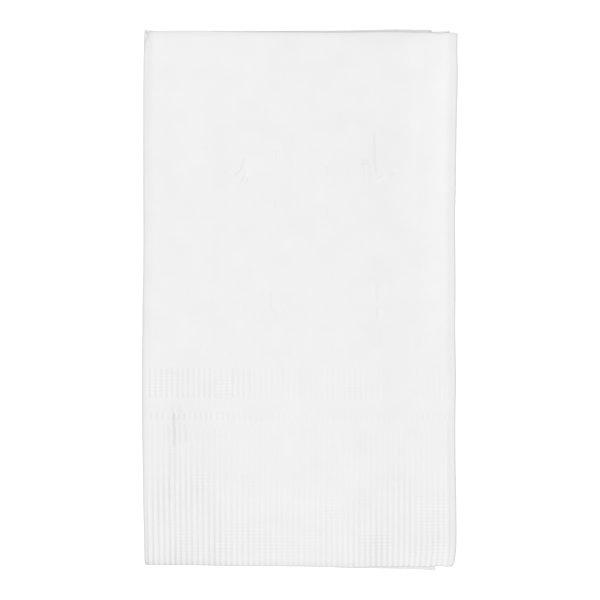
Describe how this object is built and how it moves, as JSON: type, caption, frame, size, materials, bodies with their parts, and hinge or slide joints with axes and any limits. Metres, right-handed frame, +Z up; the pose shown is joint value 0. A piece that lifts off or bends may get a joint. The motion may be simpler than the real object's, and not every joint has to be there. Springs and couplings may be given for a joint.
{
  "type": "paper napkin",
  "caption": "White paper napkin folded to a slim flat rectangle, with a ribbed border pressed along its cut edges.",
  "frame": {"origin": "middle of the folded napkin's outline, on the surface that it lies on", "axes": "+Z up out of the front panel, +Y along the folded napkin towards its first fold, +X to the right as the front is seen"},
  "size_m": [0.1122, 0.1932, 0.0033],
  "materials": {
    "tissue": "matte"
  },
  "bodies": {
    "root": {"napkin": "tissue"}
  },
  "joints": []
}
